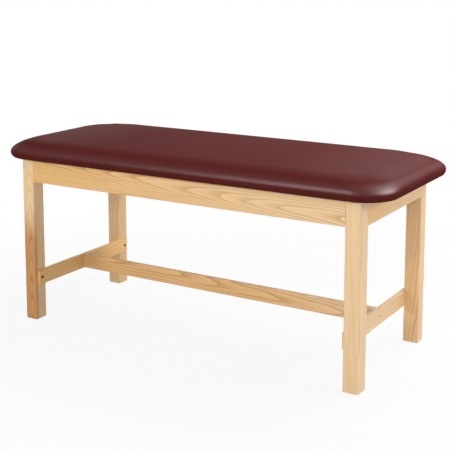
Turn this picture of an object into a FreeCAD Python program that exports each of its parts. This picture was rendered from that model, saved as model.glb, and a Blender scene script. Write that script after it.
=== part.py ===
import FreeCAD, Part
import math
import os

# Treatment table: an upholstered flat top on a hardwood frame with an H-shaped lower brace.
# Millimetres. +X runs along the table, +Y to the back, +Z up.
# The origin is on the floor, under the middle of the table.

# General fits
clearance = 0.1           # radial room of a pin in its hole
soft_clearance = 0.3      # room between the foam and its cover
overrun = 1.0             # how far a cut passes the face that it starts from
match_tolerance = 0.001   # for telling directions apart

# Frame
end_overhang = 107.5      # top past the frame at each end
side_overhang = 42.5      # top past the frame at the front and the back
frame_height = 742.0      # floor to the underside of the deck
leg_size = 65.0
leg_outer_radius = 11.0   # the full corner that faces outwards
leg_arris_radius = 3.0    # the other three long corners
leg_foot_chamfer = 1.5
apron_height = 104.0
apron_thickness = 19.0
apron_edge_radius = 2.0
rail_height = 84.0        # cross rail under the middle of the deck
rail_thickness = 19.0

# H-shaped brace
brace_height = 66.0
brace_floor_gap = 163.0
brace_edge_radius = 2.0
end_stretcher_thickness = 19.0
end_stretcher_setback = 14.0   # from the outer face of the leg to the end of the stretcher
dado_depth = 8.0               # how far the stretcher is let into the leg
long_stretcher_thickness = 19.0

# Floor glides
glide_radius = 12.0
glide_height = 2.5
glide_bevel = 1.0
tack_radius = 1.5
tack_length = 14.0

# Corner blocks and the hardware that draws each leg into its corner
block_thickness = 26.0
block_height = 78.0
block_drop = 10.0              # from the underside of the deck to the block
leg_seat_chamfer = 15.0        # flat cut on the inner corner of the leg
hanger_radius = 4.0
hanger_bite = 36.0             # length inside the leg
hanger_tip = 3.0               # length past the nut
hanger_height_shares = (0.27, 0.73)
washer_radius = 9.0
washer_thickness = 1.6
nut_across_flats = 13.0
nut_height = 6.5
block_screw_radius = 2.2
block_screw_bite = 12.0        # length inside the apron
block_screw_head_radius = 4.2
block_screw_head_height = 2.6
block_screw_grip = 11.0        # wood left under the head
block_screw_height_shares = (0.5, 0.85)

# Dowels
apron_dowel_radius = 5.0
apron_dowel_bite = 25.0
apron_dowel_shares = (0.25, 0.75)
brace_dowel_radius = 4.0
brace_dowel_end_bite = 12.0    # into the end stretcher
brace_dowel_long_bite = 22.0   # into the long stretcher
brace_dowel_shares = (0.2, 0.8)
rail_dowel_radius = 4.0
rail_dowel_apron_bite = 12.0
rail_dowel_bite = 22.0
rail_dowel_shares = (0.25, 0.75)

# Bolts through the ends of the end stretchers, into inserts in the legs
bolt_radius = 4.0
bolt_head_radius = 6.8
bolt_head_height = 4.2
bolt_bite = 17.0
bolt_socket_across = 5.0
bolt_socket_depth = 2.4
insert_radius = 6.0
insert_length = 20.0

# Bolts through the middle of the end stretchers, into barrel nuts in the long stretcher
brace_bolt_radius = 3.0
brace_bolt_head_radius = 5.0
brace_bolt_head_height = 6.0
brace_bolt_recess = 7.5
brace_bolt_socket_across = 5.0
brace_bolt_socket_depth = 3.0
barrel_nut_radius = 5.0
barrel_nut_length = 14.0
barrel_nut_setback = 32.0

# Brackets that hold the deck to the aprons
bracket_arm = 30.0
bracket_width = 20.0
bracket_thickness = 2.0
bracket_bend_radius = 3.0
bracket_hole_share = 0.62
bracket_place_share = 0.6      # of half the frame's length, out from the middle
bracket_screw_radius = 2.0
bracket_screw_length = 14.0
bracket_screw_head_radius = 3.8
bracket_screw_head_height = 2.2

# Padded top
top_length = 1855.0
top_width = 767.0
top_corner_radius = 145.0
deck_thickness = 19.0
foam_wrap = 22.0               # foam over the edge of the deck
cover_thickness = 1.2
cover_flange = 38.0            # cover turned under the deck, measured from the outer edge
edge_thickness = 81.0          # deck underside to the end of the roll
crown_height = 7.0             # rise of the middle above the roll
roll_width = 115.0             # rounded top edge, measured across
tuck_width = 18.0              # rounded lower edge, measured across
tuck_height = 25.0             # rounded lower edge, measured up to the widest line
corner_ease_share = 0.45       # how much fuller the corners turn as the roll goes in
tuck_steps = 4
roll_steps = 9
crown_shares = (0.85, 0.6, 0.3)

# Places that several pieces share
along_x = FreeCAD.Vector(1, 0, 0)
along_y = FreeCAD.Vector(0, 1, 0)
along_z = FreeCAD.Vector(0, 0, 1)
half_length = top_length / 2 - end_overhang
half_width = top_width / 2 - side_overhang
leg_inner_x = half_length - leg_size
leg_inner_y = half_width - leg_size
leg_centre_x = half_length - leg_size / 2
leg_centre_y = half_width - leg_size / 2
apron_low = frame_height - apron_height
apron_inner_x = half_length - apron_thickness
apron_inner_y = half_width - apron_thickness
brace_low = brace_floor_gap
brace_high = brace_floor_gap + brace_height
brace_middle = (brace_low + brace_high) / 2
stretcher_outer_x = leg_inner_x + dado_depth
stretcher_inner_x = stretcher_outer_x - end_stretcher_thickness
stretcher_half_span = half_width - end_stretcher_setback
block_high = frame_height - block_drop
block_low = block_high - block_height
corner_sides = {"front_left": (-1, -1), "front_right": (1, -1), "back_left": (-1, 1), "back_right": (1, 1)}
length_sides = {"left": -1, "right": 1}


def point(x, y, z):
    return FreeCAD.Vector(x, y, z)


def box(x_low, x_high, y_low, y_high, z_low, z_high):
    return Part.makeBox(x_high - x_low, y_high - y_low, z_high - z_low, point(x_low, y_low, z_low))


def prism(corners, height):
    outline = Part.makePolygon(corners + corners[:1])
    return Part.Face(outline).extrude(along_z * height)


def peg(radius, back, ahead, joint, direction):
    # round bar through a joint, with a length behind it and a length ahead of it
    return Part.makeCylinder(radius, back + ahead, joint - direction * back, direction)


def eased(shape, radius, axis, chosen):
    # rounds the straight edges along an axis whose middles are chosen
    edges = []
    for edge in shape.Edges:
        direction = edge.tangentAt(edge.FirstParameter)
        if abs(direction.dot(axis)) > 1 - match_tolerance and chosen(edge.CenterOfMass):
            edges.append(edge)
    return shape.makeFillet(radius, edges)


def facing(shape, side_x, side_y):
    # copy of a shape at the back right, mirrored to another corner
    for side, normal in ((side_x, along_x), (side_y, along_y)):
        if side < 0:
            shape = shape.mirror(point(0, 0, 0), normal)
    return shape


def at_corners(shapes):
    return [facing(shape, *sides) for sides in corner_sides.values() for shape in shapes]


def at_ends(shapes):
    return [facing(shape, side, 1) for side in length_sides.values() for shape in shapes]


def at_sides(shapes):
    return [facing(shape, 1, side) for side in length_sides.values() for shape in shapes]


def aimed(shape, spot, direction):
    # a fastener drawn along +Z from its seat at the origin, put at its place
    copy = shape.copy()
    copy.Placement = FreeCAD.Placement(spot, FreeCAD.Rotation(along_z, direction)).multiply(shape.Placement)
    return copy


def hexagon(across_flats, height):
    reach = across_flats / 2 / math.cos(math.pi / 6)
    corners = [point(reach * math.cos(math.pi / 3 * k), reach * math.sin(math.pi / 3 * k), 0) for k in range(6)]
    return prism(corners, height)


def screw(shank_radius, shank_length, head_radius, head_height):
    shank = Part.makeCylinder(shank_radius, shank_length)
    head = Part.makeCylinder(head_radius, head_height, point(0, 0, -head_height))
    return shank.fuse(head).removeSplitter()


def socketed(fastener, across_flats, depth, head_height):
    socket = hexagon(across_flats, depth + overrun)
    socket.translate(along_z * -(head_height + overrun))
    return fastener.cut(socket)


def button_bolt(shank_radius, shank_length, head_radius, head_height):
    # the head is a cap of a ball that meets the seat at the head's radius
    ball_radius = (head_radius ** 2 + head_height ** 2) / (2 * head_height)
    ball = Part.makeSphere(ball_radius, point(0, 0, ball_radius - head_height))
    cap = ball.common(box(-head_radius, head_radius, -head_radius, head_radius, -head_height, 0))
    return cap.fuse(Part.makeCylinder(shank_radius, shank_length)).removeSplitter()


def save(name, solids):
    shape = solids[0] if len(solids) == 1 else Part.makeCompound(solids)
    shape.exportStep("parts/" + name + ".step")


# Dowels between the aprons and the legs, and their sockets, at the back right corner
def apron_dowels(radius):
    dowels = []
    for share in apron_dowel_shares:
        height = apron_low + apron_height * share
        long_joint = point(leg_inner_x, half_width - apron_thickness / 2, height)
        end_joint = point(half_length - apron_thickness / 2, leg_inner_y, height)
        dowels.append(peg(radius, apron_dowel_bite, apron_dowel_bite, long_joint, along_x))
        dowels.append(peg(radius, apron_dowel_bite, apron_dowel_bite, end_joint, along_y))
    return dowels


# Dowels between the cross rail and the back apron
def rail_dowels(radius):
    low = frame_height - rail_height
    joints = [point(0, apron_inner_y, low + rail_height * share) for share in rail_dowel_shares]
    return [peg(radius, rail_dowel_bite, rail_dowel_apron_bite, joint, along_y) for joint in joints]


# Dowels between the long stretcher and the right end stretcher
def brace_dowels(radius):
    joints = [point(stretcher_inner_x, 0, brace_low + brace_height * share) for share in brace_dowel_shares]
    return [peg(radius, brace_dowel_long_bite, brace_dowel_end_bite, joint, along_x) for joint in joints]


# Corner block and its hardware at the back right, on the line that cuts the inner corner of the leg
into_leg = (along_x + along_y).normalize()
seat_sum = 2 * leg_size - leg_seat_chamfer
block_back_sum = seat_sum + block_thickness * math.sqrt(2)


def from_corner(inset_x, inset_y, height):
    # a point measured inwards from the outer corner of the frame
    return point(half_length - inset_x, half_width - inset_y, height)


def corner_block():
    plan = []
    for sum_near in (seat_sum, block_back_sum):
        plan.append((sum_near - apron_thickness, apron_thickness))
    for sum_near in (block_back_sum, seat_sum):
        plan.append((apron_thickness, sum_near - apron_thickness))
    return prism([from_corner(inset_x, inset_y, block_low) for inset_x, inset_y in plan], block_height)


def leg_seat_cut():
    near = leg_size - leg_seat_chamfer - overrun
    far = leg_size + overrun
    plan = [(near, far), (far, near), (far, far)]
    corners = [from_corner(inset_x, inset_y, block_low) for inset_x, inset_y in plan]
    return prism(corners, frame_height - block_low + overrun)


hanger_spots = [
    from_corner(seat_sum / 2, seat_sum / 2, block_low + block_height * share) for share in hanger_height_shares
]


def hanger_bolts(radius):
    tail = block_thickness + washer_thickness + nut_height + hanger_tip
    return [peg(radius, tail, hanger_bite, spot, into_leg) for spot in hanger_spots]


def hanger_rings(solid, distance):
    # washers or nuts threaded on the hanger bolts, at a distance behind the leg's seat
    bore = Part.makeCylinder(hanger_radius + clearance, solid.BoundBox.ZLength)
    ring = solid.cut(bore)
    return [aimed(ring, spot - into_leg * distance, into_leg) for spot in hanger_spots]


def block_screws(shape):
    # through the two feet of the block, square to each apron
    screws = []
    foot_centre = (seat_sum + block_back_sum) / 2 - apron_thickness
    seat = apron_thickness + block_screw_grip
    for share in block_screw_height_shares:
        height = block_low + block_height * share
        screws.append(aimed(shape, from_corner(foot_centre, seat, height), along_y))
        screws.append(aimed(shape, from_corner(seat, foot_centre, height), along_x))
    return screws


# Deck brackets: one at the back, right of the middle, and one at the middle of the right end
bracket_places = (
    (point(half_length * bracket_place_share, apron_inner_y, frame_height), -90),
    (point(apron_inner_x, 0, frame_height), 180),
)


def angle_bracket():
    # one arm hangs on the apron and the other lies under the deck, with a bend between them
    across = bracket_width / 2
    block = box(0, bracket_arm, -across, across, -bracket_arm, 0)
    hollow = box(bracket_thickness, bracket_arm + overrun, -across - overrun, across + overrun,
                 -bracket_arm - overrun, -bracket_thickness)
    bent = block.cut(hollow)
    bend = bracket_thickness + bracket_bend_radius
    bent = eased(bent, bend, along_y, lambda middle: max(middle.x, -middle.z) < match_tolerance)
    inner = bracket_thickness - match_tolerance
    return eased(bent, bracket_bend_radius, along_y,
                 lambda middle: inner < min(middle.x, -middle.z) and max(middle.x, -middle.z) < bend)


def bracket_screws(shape):
    reach = bracket_arm * bracket_hole_share
    into_apron = aimed(shape, point(bracket_thickness, 0, -reach), -along_x)
    into_deck = aimed(shape, point(reach, 0, -bracket_thickness), along_z)
    return [into_apron, into_deck]


def at_brackets(shapes):
    # the back bracket goes to all four corners, the end bracket to both ends
    placed = []
    for (spot, angle), spread in zip(bracket_places, (at_corners, at_ends)):
        place = FreeCAD.Placement(spot, FreeCAD.Rotation(along_z, angle))
        for copy in [shape.copy() for shape in shapes]:
            copy.Placement = place.multiply(copy.Placement)
            placed += spread([copy])
    return placed


# Legs, aprons and cross rail
def leg(cuts):
    post = box(leg_inner_x, half_length, leg_inner_y, half_width, glide_height, frame_height)
    post = eased(post, leg_outer_radius, along_z, lambda middle: middle.x + middle.y > leg_centre_x + half_width)
    square = leg_size / 2 - match_tolerance
    post = eased(post, leg_arris_radius, along_z,
                 lambda middle: min(abs(middle.x - leg_centre_x), abs(middle.y - leg_centre_y)) > square)
    foot = [edge for edge in post.Edges if abs(edge.CenterOfMass.z - glide_height) < match_tolerance]
    post = post.makeChamfer(leg_foot_chamfer, foot)
    dado = box(leg_inner_x - overrun, stretcher_outer_x, leg_inner_y - overrun, stretcher_half_span,
               brace_low, brace_high)
    return post.cut([dado, leg_seat_cut()] + cuts)


def long_apron(cuts):
    board = box(-leg_inner_x, leg_inner_x, apron_inner_y, half_width, apron_low, frame_height)
    board = eased(board, apron_edge_radius, along_x, lambda middle: middle.z < frame_height)
    return board.cut(cuts)


def end_apron(cuts):
    board = box(apron_inner_x, half_length, -leg_inner_y, leg_inner_y, apron_low, frame_height)
    board = eased(board, apron_edge_radius, along_y, lambda middle: middle.z < frame_height)
    return board.cut(cuts)


def cross_rail(cuts):
    across = rail_thickness / 2
    board = box(-across, across, -apron_inner_y, apron_inner_y, frame_height - rail_height, frame_height)
    return board.cut(cuts)


# Brace
def end_stretcher(cuts):
    board = box(stretcher_inner_x, stretcher_outer_x, -stretcher_half_span, stretcher_half_span,
                brace_low, brace_high)
    return eased(board, brace_edge_radius, along_y, lambda middle: True).cut(cuts)


def long_stretcher(cuts):
    across = long_stretcher_thickness / 2
    board = box(-stretcher_inner_x, stretcher_inner_x, -across, across, brace_low, brace_high)
    return eased(board, brace_edge_radius, along_x, lambda middle: True).cut(cuts)


leg_bolt_seat = point(stretcher_inner_x, leg_centre_y, brace_middle)
insert_mouth = point(stretcher_outer_x, leg_centre_y, brace_middle)
brace_bolt_seat = point(stretcher_outer_x - brace_bolt_recess, 0, brace_middle)
barrel_nut_centre = point(stretcher_inner_x - barrel_nut_setback, 0, brace_middle)
brace_bolt_length = brace_bolt_seat.x - barrel_nut_centre.x + barrel_nut_radius


def leg_insert():
    sleeve = Part.makeCylinder(insert_radius, insert_length, insert_mouth, along_x)
    return sleeve.cut(Part.makeCylinder(bolt_radius + clearance, insert_length, insert_mouth, along_x))


def barrel_nut(bolt_hole):
    across = barrel_nut_length / 2
    return peg(barrel_nut_radius, across, across, barrel_nut_centre, along_y).cut(bolt_hole)


def barrel_nut_socket():
    # blind hole from the back face of the long stretcher
    open_side = long_stretcher_thickness / 2 + overrun
    return peg(barrel_nut_radius + clearance, barrel_nut_length / 2, open_side, barrel_nut_centre, along_y)


# Glides
def floor_glide():
    disc = Part.makeCylinder(glide_radius, glide_height, point(leg_centre_x, leg_centre_y, 0))
    rim = [edge for edge in disc.Edges if edge.CenterOfMass.z < match_tolerance and len(edge.Vertexes) == 1]
    return disc.makeChamfer(glide_bevel, rim).fuse(glide_tack(tack_radius)).removeSplitter()


def glide_tack(radius):
    return Part.makeCylinder(radius, tack_length, point(leg_centre_x, leg_centre_y, glide_height))


# Padded top
def rounded_outline(half_x, half_y, radius, height):
    # four straight sides joined by quarter circles
    runs = []
    for turn, (side_x, side_y) in enumerate(((1, 1), (-1, 1), (-1, -1), (1, -1))):
        centre = point(side_x * (half_x - radius), side_y * (half_y - radius), height)
        angles = [math.pi / 2 * (turn + part_share) for part_share in (0, 0.5, 1)]
        runs.append([centre + point(math.cos(angle), math.sin(angle), 0) * radius for angle in angles])
    edges = []
    for run, following in zip(runs, runs[1:] + runs[:1]):
        edges.append(Part.Arc(*run).toShape())
        edges.append(Part.makeLine(run[-1], following[0]))
    return Part.Wire(edges)


def slab(inset, low, thickness):
    outline = rounded_outline(top_length / 2 - inset, top_width / 2 - inset, top_corner_radius - inset, low)
    return Part.Face(outline).extrude(along_z * thickness)


def pad_body(inset):
    # closed form of the whole padded top, drawn in by an inset: lower turn, rolled edge, crown
    half_x = top_length / 2 - inset
    half_y = top_width / 2 - inset
    radius = top_corner_radius - inset
    low = frame_height - cover_thickness + inset
    widest = frame_height - cover_thickness + tuck_height
    high = frame_height + edge_thickness - inset
    outlines = []

    def add(drawn_in, ease, height):
        outlines.append(rounded_outline(half_x - drawn_in, half_y - drawn_in, radius + drawn_in * ease, height))

    for step in range(tuck_steps):
        angle = math.pi / 2 * step / tuck_steps
        add(tuck_width * (1 - math.sin(angle)), -1, low + (widest - low) * (1 - math.cos(angle)))
    for step in range(roll_steps + 1):
        angle = math.pi / 2 * step / roll_steps
        add(roll_width * (1 - math.cos(angle)), corner_ease_share, widest + (high - widest) * math.sin(angle))
    crown_radius = radius + roll_width * corner_ease_share
    for share in crown_shares:
        outlines.append(rounded_outline((half_x - roll_width) * share, (half_y - roll_width) * share,
                                        crown_radius * share, high + crown_height * (1 - share ** 2)))
    return Part.makeLoft(outlines, True, True)


def top_deck(cuts):
    return slab(cover_thickness + foam_wrap, frame_height, deck_thickness).cut(cuts)


def foam_core():
    deck_space = slab(cover_thickness + foam_wrap, frame_height - overrun, deck_thickness + overrun)
    return pad_body(cover_thickness + soft_clearance).cut(deck_space)


def vinyl_cover():
    mouth = slab(cover_flange, frame_height - cover_thickness - overrun, cover_thickness + overrun)
    return pad_body(0).cut([pad_body(cover_thickness), mouth])


os.makedirs("parts", exist_ok=True)

# Sockets are the pins themselves with room around them
apron_sockets = apron_dowels(apron_dowel_radius + clearance)
rail_sockets = rail_dowels(rail_dowel_radius + clearance)
brace_sockets = brace_dowels(brace_dowel_radius + clearance)
hanger_holes = hanger_bolts(hanger_radius + clearance)

block_screw_shank = block_screw_grip + block_screw_bite
block_screw = screw(block_screw_radius, block_screw_shank, block_screw_head_radius, block_screw_head_height)
block_screw_hole = Part.makeCylinder(block_screw_radius + clearance, block_screw_shank)
spot_face = Part.makeCylinder(block_screw_head_radius + overrun, block_thickness, point(0, 0, -block_thickness))

bracket_screw = screw(bracket_screw_radius, bracket_screw_length, bracket_screw_head_radius,
                      bracket_screw_head_height)
bracket_hole = Part.makeCylinder(bracket_screw_radius + clearance, bracket_screw_length)
bracket_holes = at_brackets(bracket_screws(bracket_hole))

leg_bolt = button_bolt(bolt_radius, end_stretcher_thickness + bolt_bite, bolt_head_radius, bolt_head_height)
leg_bolt = socketed(leg_bolt, bolt_socket_across, bolt_socket_depth, bolt_head_height)
leg_bolt_hole = peg(bolt_radius + clearance, overrun, end_stretcher_thickness + overrun, leg_bolt_seat, along_x)
insert_hole = peg(insert_radius, overrun, insert_length, insert_mouth, along_x)

brace_bolt = screw(brace_bolt_radius, brace_bolt_length, brace_bolt_head_radius, brace_bolt_head_height)
brace_bolt = socketed(brace_bolt, brace_bolt_socket_across, brace_bolt_socket_depth, brace_bolt_head_height)
brace_bolt_hole = peg(brace_bolt_radius + clearance, overrun, brace_bolt_length, brace_bolt_seat, -along_x)
brace_bolt_bore = peg(brace_bolt_head_radius + clearance, brace_bolt_recess + overrun, 0, brace_bolt_seat, -along_x)

# Wooden frame
leg_cuts = apron_sockets + hanger_holes + [insert_hole, glide_tack(tack_radius + clearance)]
back_right_leg = leg(leg_cuts)
back_right_block = corner_block().cut(hanger_holes + block_screws(block_screw_hole) + block_screws(spot_face))
for corner, sides in corner_sides.items():
    save("leg_" + corner, [facing(back_right_leg, *sides)])
    save("corner_block_" + corner, [facing(back_right_block, *sides)])

shared_holes = apron_sockets + block_screws(block_screw_hole)
back_apron = long_apron(at_ends(shared_holes) + rail_sockets + bracket_holes)
right_apron = end_apron(at_sides(shared_holes) + bracket_holes)
right_stretcher = end_stretcher(at_sides([leg_bolt_hole]) + brace_sockets + [brace_bolt_hole, brace_bolt_bore])
save("apron_back", [back_apron])
save("apron_front", [facing(back_apron, 1, -1)])
for end, side in length_sides.items():
    save("apron_" + end, [facing(right_apron, side, 1)])
    save("end_stretcher_" + end, [facing(right_stretcher, side, 1)])
save("centre_cross_rail", [cross_rail(at_sides(rail_sockets))])
save("long_stretcher", [long_stretcher(at_ends(brace_sockets + [brace_bolt_hole, barrel_nut_socket()]))])

# Dowels and hardware
save("apron_dowels", at_corners(apron_dowels(apron_dowel_radius)))
save("rail_dowels", at_sides(rail_dowels(rail_dowel_radius)))
save("brace_dowels", at_ends(brace_dowels(brace_dowel_radius)))
washer_back = block_thickness + washer_thickness
washer = Part.makeCylinder(washer_radius, washer_thickness)
save("hanger_bolts", at_corners(hanger_bolts(hanger_radius)))
save("hanger_washers", at_corners(hanger_rings(washer, washer_back)))
save("hanger_nuts", at_corners(hanger_rings(hexagon(nut_across_flats, nut_height), washer_back + nut_height)))
save("block_screws", at_corners(block_screws(block_screw)))
save("stretcher_bolts", at_corners([aimed(leg_bolt, leg_bolt_seat, along_x)]))
save("leg_inserts", at_corners([leg_insert()]))
save("brace_bolts", at_ends([aimed(brace_bolt, brace_bolt_seat, -along_x)]))
save("barrel_nuts", at_ends([barrel_nut(brace_bolt_hole)]))
save("deck_brackets", [bracket.cut(bracket_holes) for bracket in at_brackets([angle_bracket()])])
save("bracket_screws", at_brackets(bracket_screws(bracket_screw)))
save("floor_glides", at_corners([floor_glide()]))

# Padded top
save("top_deck", [top_deck(bracket_holes)])
save("foam_core", [foam_core()])
save("vinyl_cover", [vinyl_cover()])
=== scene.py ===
import math

import bpy
import numpy as np
from mathutils import Matrix, Vector


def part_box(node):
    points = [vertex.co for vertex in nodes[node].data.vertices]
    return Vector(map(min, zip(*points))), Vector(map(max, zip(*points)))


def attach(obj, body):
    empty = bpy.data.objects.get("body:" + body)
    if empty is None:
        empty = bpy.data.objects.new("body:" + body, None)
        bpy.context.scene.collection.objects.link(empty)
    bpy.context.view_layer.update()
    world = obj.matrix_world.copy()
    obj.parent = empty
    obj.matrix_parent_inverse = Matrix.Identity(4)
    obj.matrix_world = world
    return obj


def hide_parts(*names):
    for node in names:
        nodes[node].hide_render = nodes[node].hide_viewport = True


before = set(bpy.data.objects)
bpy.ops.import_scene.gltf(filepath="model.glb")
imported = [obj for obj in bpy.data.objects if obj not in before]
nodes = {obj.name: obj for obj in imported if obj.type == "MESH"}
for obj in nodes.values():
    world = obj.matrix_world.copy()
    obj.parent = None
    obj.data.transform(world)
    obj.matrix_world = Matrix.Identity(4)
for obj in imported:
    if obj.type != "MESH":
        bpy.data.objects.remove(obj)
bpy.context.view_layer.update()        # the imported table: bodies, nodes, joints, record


# Small helpers for modelling by operators

def pickOnly(obj):
    bpy.ops.object.select_all(action="DESELECT")
    obj.select_set(True)
    bpy.context.view_layer.objects.active = obj


def editMode(on):
    bpy.ops.object.mode_set(mode="EDIT" if on else "OBJECT")


def selectEdges(obj, wanted):
    # call in object mode, go to edit mode after
    mesh = obj.data
    for group in (mesh.polygons, mesh.edges, mesh.vertices):
        group.foreach_set("select", [False] * len(group))
    for edge in mesh.edges:
        ends = [mesh.vertices[i].co for i in edge.vertices]
        edge.select = wanted(*ends)


def finishModifiers(obj):
    pickOnly(obj)
    for modifier in list(obj.modifiers):
        bpy.ops.object.modifier_apply(modifier=modifier.name)


def points(obj):
    flat = np.empty(len(obj.data.vertices) * 3)
    obj.data.vertices.foreach_get("co", flat)
    return flat.reshape(-1, 3)


def setPoints(obj, coords):
    obj.data.vertices.foreach_set("co", np.asarray(coords).ravel())
    obj.data.update()


# Shader maths

class Value:
    # wraps an output socket, so that sums on it add Math nodes
    def __init__(self, surface, socket):
        self.surface = surface
        self.socket = socket

    def maths(self, operation, first, second):
        return self.surface.maths(operation, first, second)

    def __add__(self, other):
        return self.maths("ADD", self, other)

    def __radd__(self, other):
        return self.maths("ADD", other, self)

    def __sub__(self, other):
        return self.maths("SUBTRACT", self, other)

    def __rsub__(self, other):
        return self.maths("SUBTRACT", other, self)

    def __mul__(self, other):
        return self.maths("MULTIPLY", self, other)

    def __rmul__(self, other):
        return self.maths("MULTIPLY", other, self)

    def __truediv__(self, other):
        return self.maths("DIVIDE", self, other)

    def __pow__(self, other):
        return self.maths("POWER", self, other)


class Surface:
    # one material and its nodes
    def __init__(self, name):
        self.material = bpy.data.materials.new(name)
        self.material.use_nodes = True
        self.tree = self.material.node_tree
        self.tree.nodes.clear()
        self.shader = self.tree.nodes.new("ShaderNodeBsdfPrincipled")
        self.output = self.tree.nodes.new("ShaderNodeOutputMaterial")
        self.tree.links.new(self.shader.outputs[0], self.output.inputs["Surface"])

    def put(self, socket, value):
        if isinstance(value, Value):
            self.tree.links.new(value.socket, socket)
        else:
            socket.default_value = value

    def add(self, kind, settings=None, inputs=None, out=0):
        node = self.tree.nodes.new(kind)
        for key, value in (settings or {}).items():
            setattr(node, key, value)
        for key, value in (inputs or {}).items():
            self.put(node.inputs[key], value)
        return Value(self, node.outputs[out])

    def objectPlace(self):
        return self.add("ShaderNodeTexCoord", out="Object")

    def maths(self, operation, *values):
        return self.add("ShaderNodeMath", {"operation": operation}, dict(enumerate(values)))

    def split(self, vector):
        # the x, y and z of a place
        parts = self.add("ShaderNodeSeparateXYZ", None, {"Vector": vector}).socket.node.outputs
        return [Value(self, part) for part in parts]

    def mapped(self, vector, location=(0, 0, 0), rotation=(0, 0, 0), scale=(1, 1, 1)):
        inputs = {"Vector": vector, "Location": location, "Rotation": rotation, "Scale": scale}
        return self.add("ShaderNodeMapping", None, inputs)

    def noise(self, vector, scale, detail=2):
        return self.add("ShaderNodeTexNoise", None, {"Vector": vector, "Scale": scale, "Detail": detail})

    def stretched(self, vector, scale, detail=2):
        # noise with its own scale along each axis
        return self.noise(self.mapped(vector, scale=scale), 1.0, detail)

    def blend(self, factor, first, second, kind="MIX"):
        settings = {"data_type": "RGBA", "blend_type": kind, "clamp_factor": True}
        return self.add("ShaderNodeMix", settings, {0: factor, 6: first, 7: second}, out=2)

    def clamped(self, value, low, high):
        inputs = {"Value": value, "From Min": low, "From Max": high}
        return self.add("ShaderNodeMapRange", {"clamp": True}, inputs)

    def bump(self, height, strength, distance):
        inputs = {"Height": height, "Strength": strength, "Distance": distance}
        return self.add("ShaderNodeBump", None, inputs)

    def finish(self, **sockets):
        for key, value in sockets.items():
            self.put(self.shader.inputs[key.replace("_", " ")], value)
        return self.material


# Ash boards and posts: growth rings round a pith line, drawn on the solid

ash = {
    "light": (0.73, 0.52, 0.295, 1),
    "ring": (0.50, 0.275, 0.100, 1),
    "pore": (0.36, 0.18, 0.065, 1),
    "sharpness": 2.4,                 # of the edge between two rings
    "driftScale": (1.6, 14, 14),      # slow bends of the rings
    "drift": 0.012,
    "shakeScale": (9, 120, 120),      # and small ones
    "shake": 0.0012,
    "ringOffset": 40,                 # keeps the count of rings above zero
    "toneScale": (2.2, 22, 22),       # patches where the rings show more
    "toneShare": (0.35, 1.1),         # least, and what the noise adds
    "broadScale": (5, 190, 190),      # soft streaks between the rings
    "broadRange": (0.40, 0.75),
    "broadShare": 0.35,
    "streakScale": (30, 1500, 1500),  # open pores
    "poreRange": (0.56, 0.70),
    "poreShare": (0.12, 0.40),        # all over, and what early wood adds
    "roughness": 0.42,
    "poreRough": 0.10,
    "coat": 0.12,                     # clear finish
    "coatRoughness": 0.25,
    "bump": (0.12, 0.0004),
}

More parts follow.
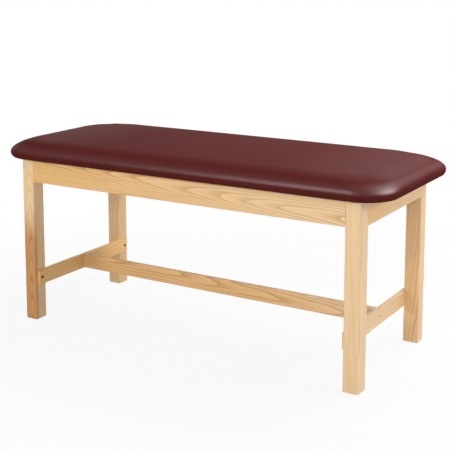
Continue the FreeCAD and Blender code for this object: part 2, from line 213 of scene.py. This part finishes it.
# Grain runs along x, y or z. pith is measured from the piece's centre, taper bends the rings into arches
# and lean is how the pith line drops along the grain. ring is a year's growth, lines is how strongly it
# shows, and calm weakens that towards the high end. tints are for the low and the high end of the grain,
# turn is where one goes over into the other, and outer keeps the first to the rings beyond that radius.
pale = (1.0, 1.0, 1.0, 1)
cream = (0.98, 0.94, 0.84, 1)
sand = (0.95, 0.88, 0.75, 1)
honey = (0.98, 0.83, 0.50, 1)
blush = (0.98, 0.91, 0.84, 1)
straw = (1.0, 0.88, 0.57, 1)
# darker, greyer tint that stands in for the shade under the table: painted shade
paintedShade = (0.86, 0.82, 0.76, 1)
amber = (0.97, 0.835, 0.625, 1)
russet = (0.70, 0.47, 0.25, 1)
cuts = {
    # the honey tint at the front apron's left end is partly the board's own colour, partly painted shade
    "apron_front": {"along": "x", "pith": (0, 0.056, 0.018), "taper": -0.026, "lean": 0.055, "ring": 0.0046,
                    "lines": 1.1, "tints": (honey, pale)},
    "apron_back": {"along": "x", "pith": (0, -0.070, -0.020), "taper": 0.030, "ring": 0.0050,
                   "lines": 0.9, "tints": (pale, honey)},
    "apron_left": {"along": "y", "pith": (0.08, 0, 0.09), "taper": 0.03, "ring": 0.0048,
                   "lines": 0.8, "tints": (honey, sand)},
    "apron_right": {"along": "y", "pith": (-0.09, 0, 0.11), "taper": 0.02, "ring": 0.0046,
                    "lines": 0.7, "tints": (honey, cream)},
    "leg_front_left": {"along": "z", "pith": (0.004, 0.066, 0), "taper": 0.026, "ring": 0.0027,
                       "lines": 1.1, "calm": 0.6, "tints": (russet, pale), "turn": (0.50, 0.70),
                       "outer": (0.082, 0.099)},
    "leg_front_right": {"along": "z", "pith": (-0.16, 0.05, 0), "taper": 0.010, "ring": 0.0044,
                        "lines": 0.5, "tints": (pale, pale)},
    # the whole back-left leg is darkened by its tint: painted shade, not the wood's own colour
    "leg_back_left": {"along": "z", "pith": (-0.06, 0.09, 0), "taper": 0.02, "ring": 0.0042,
                      "lines": 0.8, "tints": (paintedShade, paintedShade)},
    "leg_back_right": {"along": "z", "pith": (0.050, 0.110, 0), "taper": 0.022, "ring": 0.0040,
                       "lines": 0.75, "tints": (blush, blush)},
    "end_stretcher_left": {"along": "y", "pith": (-0.07, 0, 0.05), "taper": 0.03, "ring": 0.0056,
                           "lines": 0.85, "tints": (straw, straw)},
    "end_stretcher_right": {"along": "y", "pith": (-0.08, 0, -0.05), "taper": 0.03, "ring": 0.0054,
                            "lines": 0.8, "tints": (pale, cream)},
    "long_stretcher": {"along": "x", "pith": (0, 0.058, 0.012), "taper": 0.020, "lean": 0.040, "ring": 0.0052,
                       "lines": 1.15, "tints": (amber, pale), "turn": (0.62, 0.95)},
    "centre_cross_rail": {"along": "y", "pith": (0.07, 0, 0.05), "taper": 0.03, "ring": 0.0050,
                          "lines": 0.7, "tints": (pale, sand)},
    "corner_block_front_left": {"along": "z", "pith": (0.05, 0.04, 0), "taper": 0.02, "ring": 0.0045,
                                "lines": 0.7, "tints": (sand, pale)},
    "corner_block_front_right": {"along": "z", "pith": (-0.05, 0.04, 0), "taper": 0.02, "ring": 0.0045,
                                 "lines": 0.7, "tints": (pale, pale)},
    "corner_block_back_left": {"along": "z", "pith": (0.05, -0.04, 0), "taper": 0.02, "ring": 0.0045,
                               "lines": 0.7, "tints": (pale, sand)},
    "corner_block_back_right": {"along": "z", "pith": (-0.05, -0.04, 0), "taper": 0.02, "ring": 0.0045,
                                "lines": 0.7, "tints": (pale, sand)},
}

turns = {"x": (0, 0, 0), "y": (0, 0, -math.pi / 2), "z": (0, math.pi / 2, 0)}   # puts the grain on local x


def ashWood(name, cut):
    wood = Surface("ash_" + name)
    low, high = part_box(name)
    x, y, z = (low + high) / 2 + Vector(cut["pith"])
    moved = {"x": (0, -y, -z), "y": (0, x, -z), "z": (0, -y, x)}[cut["along"]]
    grain = wood.mapped(wood.objectPlace(), moved, turns[cut["along"]])
    along, across, up = wood.split(grain)
    if "lean" in cut:
        up = up + along * cut["lean"]
    drift = wood.stretched(grain, ash["driftScale"]) - 0.5
    shake = wood.stretched(grain, ash["shakeScale"]) - 0.5
    radius = (across * across + up * up) ** 0.5
    growth = radius + along * cut["taper"] + drift * ash["drift"] + shake * ash["shake"]
    phase = wood.maths("FRACT", growth / cut["ring"] + ash["ringOffset"])
    early = (1 - phase) ** ash["sharpness"]
    axis = "xyz".index(cut["along"])
    turn = [low[axis] + (high[axis] - low[axis]) * share for share in cut.get("turn", (0, 1))]
    far = wood.clamped(along, *turn)
    leastTone, moreTone = ash["toneShare"]
    tone = leastTone + wood.stretched(grain, ash["toneScale"]) * moreTone
    lines = cut["lines"] * (1 - far * cut.get("calm", 0))
    colour = wood.blend(early * lines * tone, ash["light"], ash["ring"])
    broad = wood.clamped(wood.stretched(grain, ash["broadScale"], 3), *ash["broadRange"])
    colour = wood.blend(broad * ash["broadShare"], colour, ash["ring"])
    streak = wood.stretched(grain, ash["streakScale"])
    pores = wood.clamped(streak, *ash["poreRange"])
    leastPores, earlyPores = ash["poreShare"]
    colour = wood.blend(pores * (leastPores + early * earlyPores), colour, ash["pore"])
    if "outer" in cut:
        far = 1 - (1 - far) * wood.clamped(radius, *cut["outer"])
    tint = wood.blend(far, *cut["tints"])
    colour = wood.blend(1.0, colour, tint, "MULTIPLY")
    height = streak * 0.5 - early * 0.5
    rough = ash["roughness"] + pores * ash["poreRough"]
    return wood.finish(Base_Color=colour, Roughness=rough, Coat_Weight=ash["coat"],
                       Coat_Roughness=ash["coatRoughness"], Normal=wood.bump(height, *ash["bump"]))


def dressAsh():
    for name, cut in cuts.items():
        nodes[name].data.materials.clear()
        nodes[name].data.materials.append(ashWood(name, cut))
    print("ash pieces:", len(cuts))


# Vinyl

vinyl = {
    "colour": (0.080, 0.0132, 0.0112, 1),
    "deep": (0.066, 0.0098, 0.0088, 1),
    "cell": 620,                  # grain cells to a metre
    "cellSmooth": 0.4,
    "cloud": 9,                   # slow changes of tone and gloss
    "cloudRough": 0.08,
    "speck": 1500,                # and fine ones
    "speckRough": 0.06,
    "roughness": 0.5,
    "bump": (0.22, 0.0005),
    # the clear topcoat is thin where the vinyl turns over, more on the flat and most round the tight edge
    "thinCoat": 0.04,
    "flatCoat": (0.12, 0.24),     # in the middle and towards both ends
    "flatReach": (0.40, 0.85),    # from the middle, over which one goes into the other
    "flatDrop": (0.006, 0.021),   # height below the crown over which the flat ends
    "tightCoat": (0.27, 0.24),    # along the sides and round the ends
    "tightDrop": (0.024, 0.044),  # height below the crown over which the tight band comes in
    "slackDrop": (0.049, 0.063),  # and goes out again
    "endRise": 0.012,             # the band sits higher round the ends,
    "endMerge": 0.012,            # and the flat goes over into it
    "endLength": (0.80, 0.90),    # from the middle, where the ends come in
    "endWidth": (0.20, 0.35),     # and where they go out towards the corners
    "coatRoughness": 0.42,
}


def maroonVinyl():
    skin = Surface("grained_vinyl")
    place = skin.objectPlace()
    cells = skin.add("ShaderNodeTexVoronoi", {"feature": "SMOOTH_F1"},
                     {"Vector": place, "Scale": vinyl["cell"], "Smoothness": vinyl["cellSmooth"]})
    cloud = skin.noise(place, vinyl["cloud"], 3)
    speck = skin.noise(place, vinyl["speck"])
    colour = skin.blend(cloud, vinyl["deep"], vinyl["colour"])
    rough = vinyl["roughness"] + (cloud - 0.5) * vinyl["cloudRough"] + (speck - 0.5) * vinyl["speckRough"]
    onward, sideways, upward = skin.split(place)
    length = skin.maths("ABSOLUTE", onward)
    width = skin.maths("ABSOLUTE", sideways)
    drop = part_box("vinyl_cover")[1].z - upward
    atEnd = skin.clamped(length, *vinyl["endLength"]) * (1 - skin.clamped(width, *vinyl["endWidth"]))
    onFlat = 1 - skin.clamped(drop - atEnd * vinyl["endMerge"], *vinyl["flatDrop"])
    lower = drop + atEnd * vinyl["endRise"]
    onEdge = skin.clamped(lower, *vinyl["tightDrop"]) * (1 - skin.clamped(lower, *vinyl["slackDrop"]))
    thin = vinyl["thinCoat"]
    middle, ends = vinyl["flatCoat"]
    flat = middle - thin + skin.clamped(length, *vinyl["flatReach"]) * (ends - middle)
    sides, rounded = vinyl["tightCoat"]
    tight = sides - thin + atEnd * (rounded - sides)
    coat = thin + skin.maths("MAXIMUM", onFlat * flat, onEdge * tight)
    return skin.finish(Base_Color=colour, Roughness=rough, Specular_IOR_Level=0.0, Coat_Weight=coat,
                       Coat_Roughness=vinyl["coatRoughness"], Normal=skin.bump(cells, *vinyl["bump"]))


# Plywood, foam, dowels and hardware

plywood = {
    "face": (0.60, 0.40, 0.21, 1),
    "ring": (0.42, 0.25, 0.11, 1),
    "cross": (0.36, 0.215, 0.10, 1),
    "plies": 7,
    "plyEdge": (0.45, 0.55),       # where one ply goes over into the next
    "crossShare": 0.8,
    "figureScale": (2.5, 45, 45),  # the outer veneer's figure, along the table
    "figureRings": 9,
    "figureSharpness": 3,
    "figureShare": 0.45,
    "fibreScale": (25, 900, 900),
    "fibreShare": 0.5,
    "roughness": 0.62,
    "fibreRough": 0.2,
    "bump": (0.15, 0.0004),
}


def birchPlywood():
    # the plies show at the edge, and the outer veneer's grain runs along the table
    board = Surface("birch_plywood")
    low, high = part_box("top_deck")
    place = board.objectPlace()
    upward = board.split(place)[2]
    layer = (upward - low.z) / ((high.z - low.z) / plywood["plies"])
    cross = board.clamped(board.maths("PINGPONG", layer, 1.0), *plywood["plyEdge"])
    figure = board.stretched(place, plywood["figureScale"], 4)
    waves = board.maths("FRACT", figure * plywood["figureRings"]) ** plywood["figureSharpness"]
    fibre = board.stretched(place, plywood["fibreScale"]) - 0.5
    marks = waves * plywood["figureShare"] + fibre * plywood["fibreShare"]
    colour = board.blend(marks, plywood["face"], plywood["ring"])
    colour = board.blend(cross * plywood["crossShare"], colour, plywood["cross"])
    rough = plywood["roughness"] + fibre * plywood["fibreRough"]
    return board.finish(Base_Color=colour, Roughness=rough, Normal=board.bump(fibre, *plywood["bump"]))


foamBlock = {
    "light": (0.76, 0.70, 0.52, 1),
    "dark": (0.66, 0.58, 0.38, 1),
    "cell": 700,
    "cloud": 12,
    "roughness": 0.85,
    "cellRough": 0.1,
    "bump": (0.4, 0.0006),
}


def creamFoam():
    block = Surface("cream_foam")
    place = block.objectPlace()
    cells = block.add("ShaderNodeTexVoronoi", None, {"Vector": place, "Scale": foamBlock["cell"]})
    cloud = block.noise(place, foamBlock["cloud"], 3)
    colour = block.blend(cloud, foamBlock["light"], foamBlock["dark"])
    rough = foamBlock["roughness"] + cells * foamBlock["cellRough"]
    return block.finish(Base_Color=colour, Roughness=rough, Normal=block.bump(cells, *foamBlock["bump"]))


dowel = {
    "light": (0.62, 0.42, 0.24, 1),
    "dark": (0.42, 0.25, 0.13, 1),
    "fleckScale": (220, 220, 700),
    "fleckRange": (0.45, 0.7),
    "roughness": 0.5,
    "fleckRough": 0.2,
    "bump": (0.2, 0.0003),
}


def beechDowel():
    pin = Surface("flecked_beech")
    fleck = pin.stretched(pin.objectPlace(), dowel["fleckScale"])
    colour = pin.blend(pin.clamped(fleck, *dowel["fleckRange"]), dowel["light"], dowel["dark"])
    rough = dowel["roughness"] + fleck * dowel["fleckRough"]
    return pin.finish(Base_Color=colour, Roughness=rough, Normal=pin.bump(fleck, *dowel["bump"]))


turned = {
    "cloud": 140,
    "cloudRough": 0.2,
    "markScale": (300, 300, 2600),   # fine tool marks
    "markRough": 0.12,
    "bump": (0.12, 0.0002),
}

zinc = {
    "light": (0.62, 0.62, 0.60, 1),
    "dark": (0.42, 0.43, 0.44, 1),
    "metallic": 1.0,
    "roughness": 0.38,
    "shine": 0.5,
}

blackOxide = {
    "light": (0.014, 0.013, 0.013, 1),
    "dark": (0.008, 0.008, 0.009, 1),
    "metallic": 0.15,
    "roughness": 0.48,
    "shine": 0.2,
}


def steel(name, plating):
    metal = Surface(name)
    place = metal.objectPlace()
    cloud = metal.noise(place, turned["cloud"], 3)
    marks = metal.stretched(place, turned["markScale"]) - 0.5
    shade = metal.blend(cloud, plating["light"], plating["dark"])
    rough = plating["roughness"] + (cloud - 0.5) * turned["cloudRough"] + marks * turned["markRough"]
    return metal.finish(Base_Color=shade, Roughness=rough, Metallic=plating["metallic"],
                        Specular_IOR_Level=plating["shine"], Normal=metal.bump(marks, *turned["bump"]))


def zincSteel():
    # made once, for the hardware and the staples
    return bpy.data.materials.get("bright_zinc") or steel("bright_zinc", zinc)


def blackSteel():
    return steel("black_oxide", blackOxide)


glide = {
    "light": (0.30, 0.29, 0.26, 1),
    "dark": (0.22, 0.21, 0.19, 1),
    "speck": 900,
    "roughness": 0.5,
    "speckRough": 0.2,
    "bump": (0.15, 0.0003),
}


def greyNylon():
    disc = Surface("grey_nylon")
    speck = disc.noise(disc.objectPlace(), glide["speck"])
    colour = disc.blend(speck, glide["light"], glide["dark"])
    rough = glide["roughness"] + speck * glide["speckRough"]
    return disc.finish(Base_Color=colour, Roughness=rough, Normal=disc.bump(speck, *glide["bump"]))


dressed = {
    birchPlywood: ("top_deck",),
    beechDowel: ("apron_dowels", "rail_dowels", "brace_dowels"),
    blackSteel: ("stretcher_bolts", "brace_bolts"),
    zincSteel: ("hanger_bolts", "hanger_washers", "hanger_nuts", "block_screws", "leg_inserts", "barrel_nuts",
                "deck_brackets", "bracket_screws"),
    greyNylon: ("floor_glides",),
}


def dressHardware():
    for make, names in dressed.items():
        material = make()
        for name in names:
            nodes[name].data.materials.clear()
            nodes[name].data.materials.append(material)
    print("other pieces:", sum(len(names) for names in dressed.values()))


# Padded top: rings of a rounded outline, drawn in step by step, then swelled by cloth

pad = {
    "cornerRadius": 0.145,
    "cornerEase": 0.45,   # how much fuller the corners turn as the roll goes in
    "cornerParts": 16,
    "gathers": 8,         # small folds of the turned-under cover at each corner
    "gatherDepth": 0.0016,
    "gatherStart": 0.006,  # from the outer edge, growing up to the rim
    "sideCuts": (48, 16),
    "flange": 0.038,
    "tuckWidth": 0.018,
    "tuckHeight": 0.025,
    "tuckParts": 5,
    "rollWidth": 0.115,
    "rollParts": 11,
    "crown": 0.007,
    "crownShares": (0.97, 0.92, 0.85, 0.76, 0.66, 0.56, 0.45, 0.34, 0.23, 0.13, 0.06, 0.02),
    "swell": 0.0010,
    "cap": 0.0020,
    "thickness": 0.0012,
    "foamGap": 0.0004,
    "creaseAngle": 40,    # of the foam's edges, in degrees
    "frames": 20,
    "pressure": 2.0,
    "cloth": {
        "quality": 6,
        "mass": 0.35,
        "tension_stiffness": 40,
        "compression_stiffness": 40,
        "shear_stiffness": 20,
        "bending_stiffness": 6,
    },
}

padLow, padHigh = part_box("vinyl_cover")
padHalf = (padHigh - padLow) / 2


def padRings():
    # the rings of the skin from the lower rim to the crown: half length, half width, height, corner radius
    widest = padLow.z + pad["tuckHeight"]
    rollTop = padHigh.z - pad["crown"] - pad["swell"]
    parallel = -1             # the corner's radius goes in with the outline
    rings = []

    def add(drawnIn, height, ease):
        radius = pad["cornerRadius"] + drawnIn * ease
        rings.append((padHalf.x - drawnIn, padHalf.y - drawnIn, height, radius))

    add(pad["flange"], padLow.z, parallel)
    add((pad["flange"] + pad["tuckWidth"]) / 2, padLow.z, parallel)
    for angle in np.linspace(0, math.pi / 2, pad["tuckParts"], endpoint=False):
        rise = pad["tuckHeight"] * (1 - math.cos(angle))
        add(pad["tuckWidth"] * (1 - math.sin(angle)), padLow.z + rise, parallel)
    for angle in np.linspace(0, math.pi / 2, pad["rollParts"] + 1):
        rise = (rollTop - widest) * math.sin(angle)
        add(pad["rollWidth"] * (1 - math.cos(angle)), widest + rise, pad["cornerEase"])
    flatX, flatY, _, radius = rings[-1]
    for share in pad["crownShares"]:
        height = rollTop + pad["crown"] * (1 - share ** 2)
        rings.append((flatX * share, flatY * share, height, radius * share))
    return rings


def outlineLoop(name, ring):
    # a rounded outline at the size of the first ring
    halfX, halfY, height, _ = ring
    bpy.ops.object.select_all(action="DESELECT")
    bpy.ops.mesh.primitive_plane_add(size=2, location=(0, 0, 0))
    obj = bpy.context.object
    obj.name = obj.data.name = name
    editMode(True)
    bpy.ops.transform.resize(value=(padHalf.x, padHalf.y, 1))
    bpy.ops.mesh.bevel(offset=pad["cornerRadius"], segments=pad["cornerParts"], affect="VERTICES")
    bpy.ops.mesh.delete(type="ONLY_FACE")
    bpy.ops.mesh.select_mode(type="EDGE")
    for axis, cutCount in enumerate(pad["sideCuts"]):
        editMode(False)
        selectEdges(obj, lambda a, b: abs(a[axis] - b[axis]) > pad["cornerRadius"])
        editMode(True)
        bpy.ops.mesh.subdivide(number_cuts=cutCount)
    bpy.ops.mesh.select_all(action="SELECT")
    bpy.ops.transform.resize(value=(halfX / padHalf.x, halfY / padHalf.y, 1))
    bpy.ops.transform.translate(value=(0, 0, height))
    return obj


def loftRings(name, rings):
    # open at the first and the last ring
    obj = outlineLoop(name, rings[0])
    for ring, was in zip(rings[1:], rings):
        bpy.ops.mesh.extrude_edges_move()
        bpy.ops.transform.resize(value=(ring[0] / was[0], ring[1] / was[1], 1))
        bpy.ops.transform.translate(value=(0, 0, ring[2] - was[2]))
    bpy.ops.mesh.select_all(action="SELECT")
    bpy.ops.mesh.normals_make_consistent(inside=False)
    editMode(False)
    return obj


def easeCorners(obj, rings):
    # gives the corners of each ring their own radius; every ring has the same count of points
    coords = points(obj).reshape(len(rings), -1, 3)
    base = coords[0] / [rings[0][0], rings[0][1], 1]          # outline as a share of its half sizes
    for ring, (halfX, halfY, height, radius) in zip(coords, rings):
        for axis, half, full in ((0, halfX, padHalf.x), (1, halfY, padHalf.y)):
            straight = full - pad["cornerRadius"]
            place = np.abs(base[:, axis]) * full
            run = np.minimum(place / straight, 1) * (half - radius)
            turn = np.maximum(place - straight, 0) / pad["cornerRadius"] * radius
            ring[:, axis] = np.sign(base[:, axis]) * (run + turn)
    setPoints(obj, coords)


def closeEnd(obj, top):
    # fills the open edge at the top or at the bottom of a pad
    heights = points(obj)[:, 2]
    edgeHeight = float(heights.max() if top else heights.min())
    pickOnly(obj)
    editMode(True)
    bpy.ops.mesh.select_mode(type="EDGE")
    bpy.ops.mesh.select_all(action="DESELECT")
    bpy.ops.mesh.select_non_manifold()
    editMode(False)
    for edge in obj.data.edges:
        ends = [obj.data.vertices[i].co.z for i in edge.vertices]
        edge.select = edge.select and max(abs(z - edgeHeight) for z in ends) < pad["tuckHeight"]
    editMode(True)
    bpy.ops.mesh.edge_face_add()
    editMode(False)


def swellCloth(obj):
    # a short cloth run under pressure, with the rim and the sides held and the roll held less and less
    start = points(obj)
    widest = padLow.z + pad["tuckHeight"]
    free = np.clip((start[:, 2] - widest) / (padHigh.z - pad["crown"] - widest), 0, 1)
    held = obj.vertex_groups.new(name="held")
    for index, share in enumerate(free):
        held.add([index], 1 - share, "REPLACE")
    cloth = obj.modifiers.new("swell", "CLOTH")
    for key, value in pad["cloth"].items():
        setattr(cloth.settings, key, value)
    cloth.settings.use_pressure = True
    cloth.settings.uniform_pressure_force = pad["pressure"]
    cloth.settings.vertex_group_mass = "held"
    cloth.settings.effector_weights.gravity = 0
    cloth.collision_settings.use_collision = False
    cloth.point_cache.frame_start = 1
    cloth.point_cache.frame_end = pad["frames"]
    for number in range(1, pad["frames"] + 1):
        bpy.context.scene.frame_set(number)
    pickOnly(obj)
    bpy.ops.object.modifier_apply(modifier=cloth.name)
    bpy.context.scene.frame_set(1)
    moved = points(obj) - start
    far = np.linalg.norm(moved, axis=1)
    limit = pad["cap"] / (pad["cap"] + far)
    setPoints(obj, start + moved * limit[:, None])
    print("cloth moved up to %.1f mm, before the cap" % (far.max() * 1000))


def padSkin():
    # the outer face of the cover, open below the deck
    rings = padRings()
    skin = loftRings("vinyl_pad_cover", rings)
    easeCorners(skin, rings)
    swellCloth(skin)
    smooth = skin.modifiers.new("smooth", "SUBSURF")
    smooth.levels = smooth.render_levels = 1
    finishModifiers(skin)
    closeEnd(skin, True)
    return skin


def makeFoam(skin):
    # the foam is the skin drawn in by the cover's thickness, less the deck
    foam = skin.copy()
    foam.data = skin.data.copy()
    foam.name = foam.data.name = "foam_pad_core"
    bpy.context.scene.collection.objects.link(foam)
    pickOnly(foam)
    editMode(True)
    bpy.ops.mesh.select_all(action="SELECT")
    bpy.ops.transform.shrink_fatten(value=-(pad["thickness"] + pad["foamGap"]))
    editMode(False)
    closeEnd(foam, False)
    deck = nodes["top_deck"].copy()
    deck.data = nodes["top_deck"].data.copy()
    bpy.context.scene.collection.objects.link(deck)
    pickOnly(deck)
    editMode(True)
    bpy.ops.mesh.select_all(action="SELECT")
    bpy.ops.mesh.remove_doubles()
    editMode(False)
    low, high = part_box("top_deck")
    room = pad["foamGap"]
    middle = (low + high) / 2
    spread = [1 + 2 * room / side for side in high - low]
    grow = Matrix.Diagonal((*spread, 1))
    deck.data.transform(Matrix.Translation(middle) @ grow @ Matrix.Translation(-middle))
    cut = foam.modifiers.new("deck", "BOOLEAN")
    cut.operation = "DIFFERENCE"
    cut.object = deck
    finishModifiers(foam)
    bpy.data.objects.remove(deck)
    bpy.ops.object.shade_smooth_by_angle(angle=math.radians(pad["creaseAngle"]))
    foam.data.materials.clear()
    foam.data.materials.append(creamFoam())
    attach(foam, "root")
    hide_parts("foam_core")
    print("foam:", len(foam.data.polygons), "faces")


def gatherCorners(skin):
    # the spare vinyl under the corners lies in small folds, with a staple in the hollow between two of them
    coords = points(skin)
    across = np.abs(coords[:, :2]) - (np.array(padHalf[:2]) - pad["cornerRadius"])
    angle = np.arctan2(across[:, 1], across[:, 0])
    inset = pad["cornerRadius"] - np.linalg.norm(across, axis=1)
    under = (across > 0).all(axis=1) & (coords[:, 2] < padLow.z + pad["tuckHeight"] / 2)
    grown = np.clip((inset - pad["gatherStart"]) / (pad["flange"] - pad["gatherStart"]), 0, 1)
    fold = (1 - np.cos(4 * pad["gathers"] * angle)) / 2       # a quarter turn holds all the folds of a corner
    coords[:, 2] -= under * grown * fold * pad["gatherDepth"]
    setPoints(skin, coords)


def makeCover(skin):
    gatherCorners(skin)
    wall = skin.modifiers.new("wall", "SOLIDIFY")
    wall.thickness = pad["thickness"]
    wall.offset = -1
    finishModifiers(skin)
    bpy.ops.object.shade_smooth()
    skin.data.materials.append(maroonVinyl())
    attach(skin, "root")
    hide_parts("vinyl_cover")
    print("cover:", len(skin.data.polygons), "faces")


# Staples that hold the turned-under cover to the deck

staple = {
    "crown": 0.011,
    "wire": 0.0012,
    "thickness": 0.0006,
    "inset": 0.031,       # from the outer edge of the pad
    "spacing": 0.042,
    "tilt": 9,            # degrees, by turns to either side
}


def stapleSpots():
    # places and headings along the four straight sides and round the corners
    spots = []
    radius = pad["cornerRadius"] - staple["inset"]
    halfX, halfY = padHalf.x - staple["inset"], padHalf.y - staple["inset"]
    for halfRun, offset, heading in ((halfX - radius, halfY, 0), (halfY - radius, halfX, 90)):
        count = int(2 * halfRun / staple["spacing"])
        for side in (-1, 1):
            for k in range(count + 1):
                run = -halfRun + 2 * halfRun * k / count
                spots.append(((run, side * offset) if heading == 0 else (side * offset, run), heading))
    cornerCount = int(math.pi / 2 * radius / staple["spacing"])
    for sideX, sideY in ((1, 1), (-1, 1), (-1, -1), (1, -1)):
        for k in range(1, cornerCount):
            angle = math.pi / 2 * k / cornerCount
            x = sideX * (halfX - radius + radius * math.cos(angle))
            y = sideY * (halfY - radius + radius * math.sin(angle))
            heading = math.degrees(math.atan2(sideY * math.sin(angle), sideX * math.cos(angle))) + 90
            spots.append(((x, y), heading))
    return spots


def makeStaples():
    bpy.ops.object.select_all(action="DESELECT")
    bpy.ops.mesh.primitive_cube_add(size=1, location=(0, 0, 0))
    model = bpy.context.object
    editMode(True)
    bpy.ops.transform.resize(value=(staple["crown"], staple["wire"], staple["thickness"]))
    bpy.ops.mesh.bevel(offset=staple["thickness"] / 4, segments=1, affect="EDGES")
    editMode(False)
    height = padLow.z - staple["thickness"] / 2
    copies = []
    for number, ((x, y), heading) in enumerate(stapleSpots()):
        copy = model.copy()
        copy.data = model.data.copy()
        bpy.context.scene.collection.objects.link(copy)
        tilt = staple["tilt"] * (-1) ** number
        turn = Matrix.Rotation(math.radians(heading + tilt), 4, "Z")
        copy.data.transform(Matrix.Translation((x, y, height)) @ turn)
        copies.append(copy)
    bpy.data.objects.remove(model)
    pickOnly(copies[0])
    for copy in copies:
        copy.select_set(True)
    bpy.ops.object.join()
    joined = bpy.context.object
    joined.name = joined.data.name = "cover_staples"
    joined.data.materials.append(zincSteel())
    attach(joined, "root")
    print("staples:", len(copies))


# Floor, lights and camera

stage = {
    "floorSize": 60,
    "floorColour": (0.55, 0.55, 0.55, 1),
    "floorRoughness": 0.9,
    "nearLift": 0.90,         # share of plain white that the camera sees on the floor by the legs
    "liftReach": (1.0, 2.4),  # distance over which that share goes up to all
    "white": 1.0,             # strength of the floor and the world in camera and mirror rays
    "worldDiffuse": 0.56,     # and of the world as light
}

view = {
    "place": (2.2402, -3.6391, 1.5774),
    "yaw": 31.3524,
    "pitch": 8.159,
    "lens": 80.432,
    "sensor": 36,
    "shift": (0.0047, -0.25),
}

lamps = {
    "key": {"place": (2.2, -5.0, 2.0), "target": (0.2, 0, 0.5), "size": (2.2, 1.4), "power": 112},
    "fill": {"place": (-1.8, -3.6, 2.1), "target": (0.1, 0, 0.7), "size": (0.8, 0.4), "power": 44},
    "right": {"place": (4.0, 0.9, 2.1), "target": (0.4, 0, 0.6), "size": (1.0, 0.8), "power": 44},
    "top": {"place": (1.3, 1.3, 2.9), "target": (0.4, 0, 0.8), "size": (1.8, 1.0), "power": 80},
    # two large soft panels that only show as sheen on the padded edge
    "frontPanel": {"place": (-0.5, -3.0, 2.5), "target": (0.75, -0.38, 0.8), "size": (0.8, 2.4), "power": 255,
                   "sheenOnly": True},
    "rightPanel": {"place": (3.0, 0.6, 2.5), "target": (0.85, -0.2, 0.8), "size": (2.3, 1.9), "power": 760,
                   "sheenOnly": True},
}


def makeFloor():
    bpy.ops.object.select_all(action="DESELECT")
    bpy.ops.mesh.primitive_plane_add(size=stage["floorSize"], location=(0, 0, 0))
    floor = bpy.context.object
    floor.name = "studio_floor"
    ground = Surface("pale_floor")
    ground.finish(Base_Color=stage["floorColour"], Roughness=stage["floorRoughness"], Specular_IOR_Level=0.0)
    rays = ground.add("ShaderNodeLightPath").socket.node
    seen = Value(ground, rays.outputs["Is Camera Ray"]) + Value(ground, rays.outputs["Is Glossy Ray"])
    seen = seen + Value(ground, rays.outputs["Is Transmission Ray"])
    away = ground.add("ShaderNodeVectorMath", {"operation": "LENGTH"}, {0: ground.objectPlace()}, out=1)
    lift = stage["nearLift"] + ground.clamped(away, *stage["liftReach"]) * (1 - stage["nearLift"])
    white = ground.add("ShaderNodeEmission", None, {"Color": (1, 1, 1, 1), "Strength": stage["white"]})
    shaded = Value(ground, ground.shader.outputs[0])
    mixed = ground.add("ShaderNodeMixShader", None, {0: seen * lift, 1: shaded, 2: white})
    ground.tree.links.new(mixed.socket, ground.output.inputs["Surface"])
    floor.data.materials.append(ground.material)


def makeWorld():
    world = bpy.data.worlds.new("studio")
    bpy.context.scene.world = world
    world.use_nodes = True
    tree = world.node_tree
    tree.nodes.clear()
    rays = tree.nodes.new("ShaderNodeLightPath")
    seen = rays.outputs["Is Camera Ray"]
    for ray in ("Is Glossy Ray", "Is Transmission Ray"):
        either = tree.nodes.new("ShaderNodeMath")
        either.operation = "MAXIMUM"
        tree.links.new(seen, either.inputs[0])
        tree.links.new(rays.outputs[ray], either.inputs[1])
        seen = either.outputs[0]
    level = tree.nodes.new("ShaderNodeMapRange")
    level.inputs["To Min"].default_value = stage["worldDiffuse"]
    level.inputs["To Max"].default_value = stage["white"]
    tree.links.new(seen, level.inputs["Value"])
    sky = tree.nodes.new("ShaderNodeBackground")
    sky.inputs["Color"].default_value = (1, 1, 1, 1)
    tree.links.new(level.outputs[0], sky.inputs["Strength"])
    output = tree.nodes.new("ShaderNodeOutputWorld")
    tree.links.new(sky.outputs[0], output.inputs["Surface"])


def makeLamps():
    for name, lamp in lamps.items():
        light = bpy.data.lights.new(name, "AREA")
        light.shape = "RECTANGLE"
        light.size, light.size_y = lamp["size"]
        light.energy = lamp["power"]
        holder = bpy.data.objects.new(name, light)
        bpy.context.scene.collection.objects.link(holder)
        holder.location = lamp["place"]
        aim = Vector(lamp["target"]) - Vector(lamp["place"])
        holder.rotation_euler = aim.to_track_quat("-Z", "Y").to_euler()
        holder.visible_diffuse = not lamp.get("sheenOnly", False)
    print("lamps:", len(lamps))


def makeCamera():
    lens = bpy.data.cameras.new("photo_view")
    lens.lens = view["lens"]
    lens.sensor_width = view["sensor"]
    lens.shift_x, lens.shift_y = view["shift"]
    camera = bpy.data.objects.new("photo_view", lens)
    bpy.context.scene.collection.objects.link(camera)
    camera.location = view["place"]
    camera.rotation_euler = (math.radians(90 - view["pitch"]), 0, math.radians(view["yaw"]))
    bpy.context.scene.camera = camera


bpy.context.scene.view_settings.view_transform = "Standard"
makeCamera()
makeWorld()
makeLamps()
makeFloor()
dressAsh()
dressHardware()
padTop = padSkin()
makeFoam(padTop)
makeCover(padTop)
makeStaples()
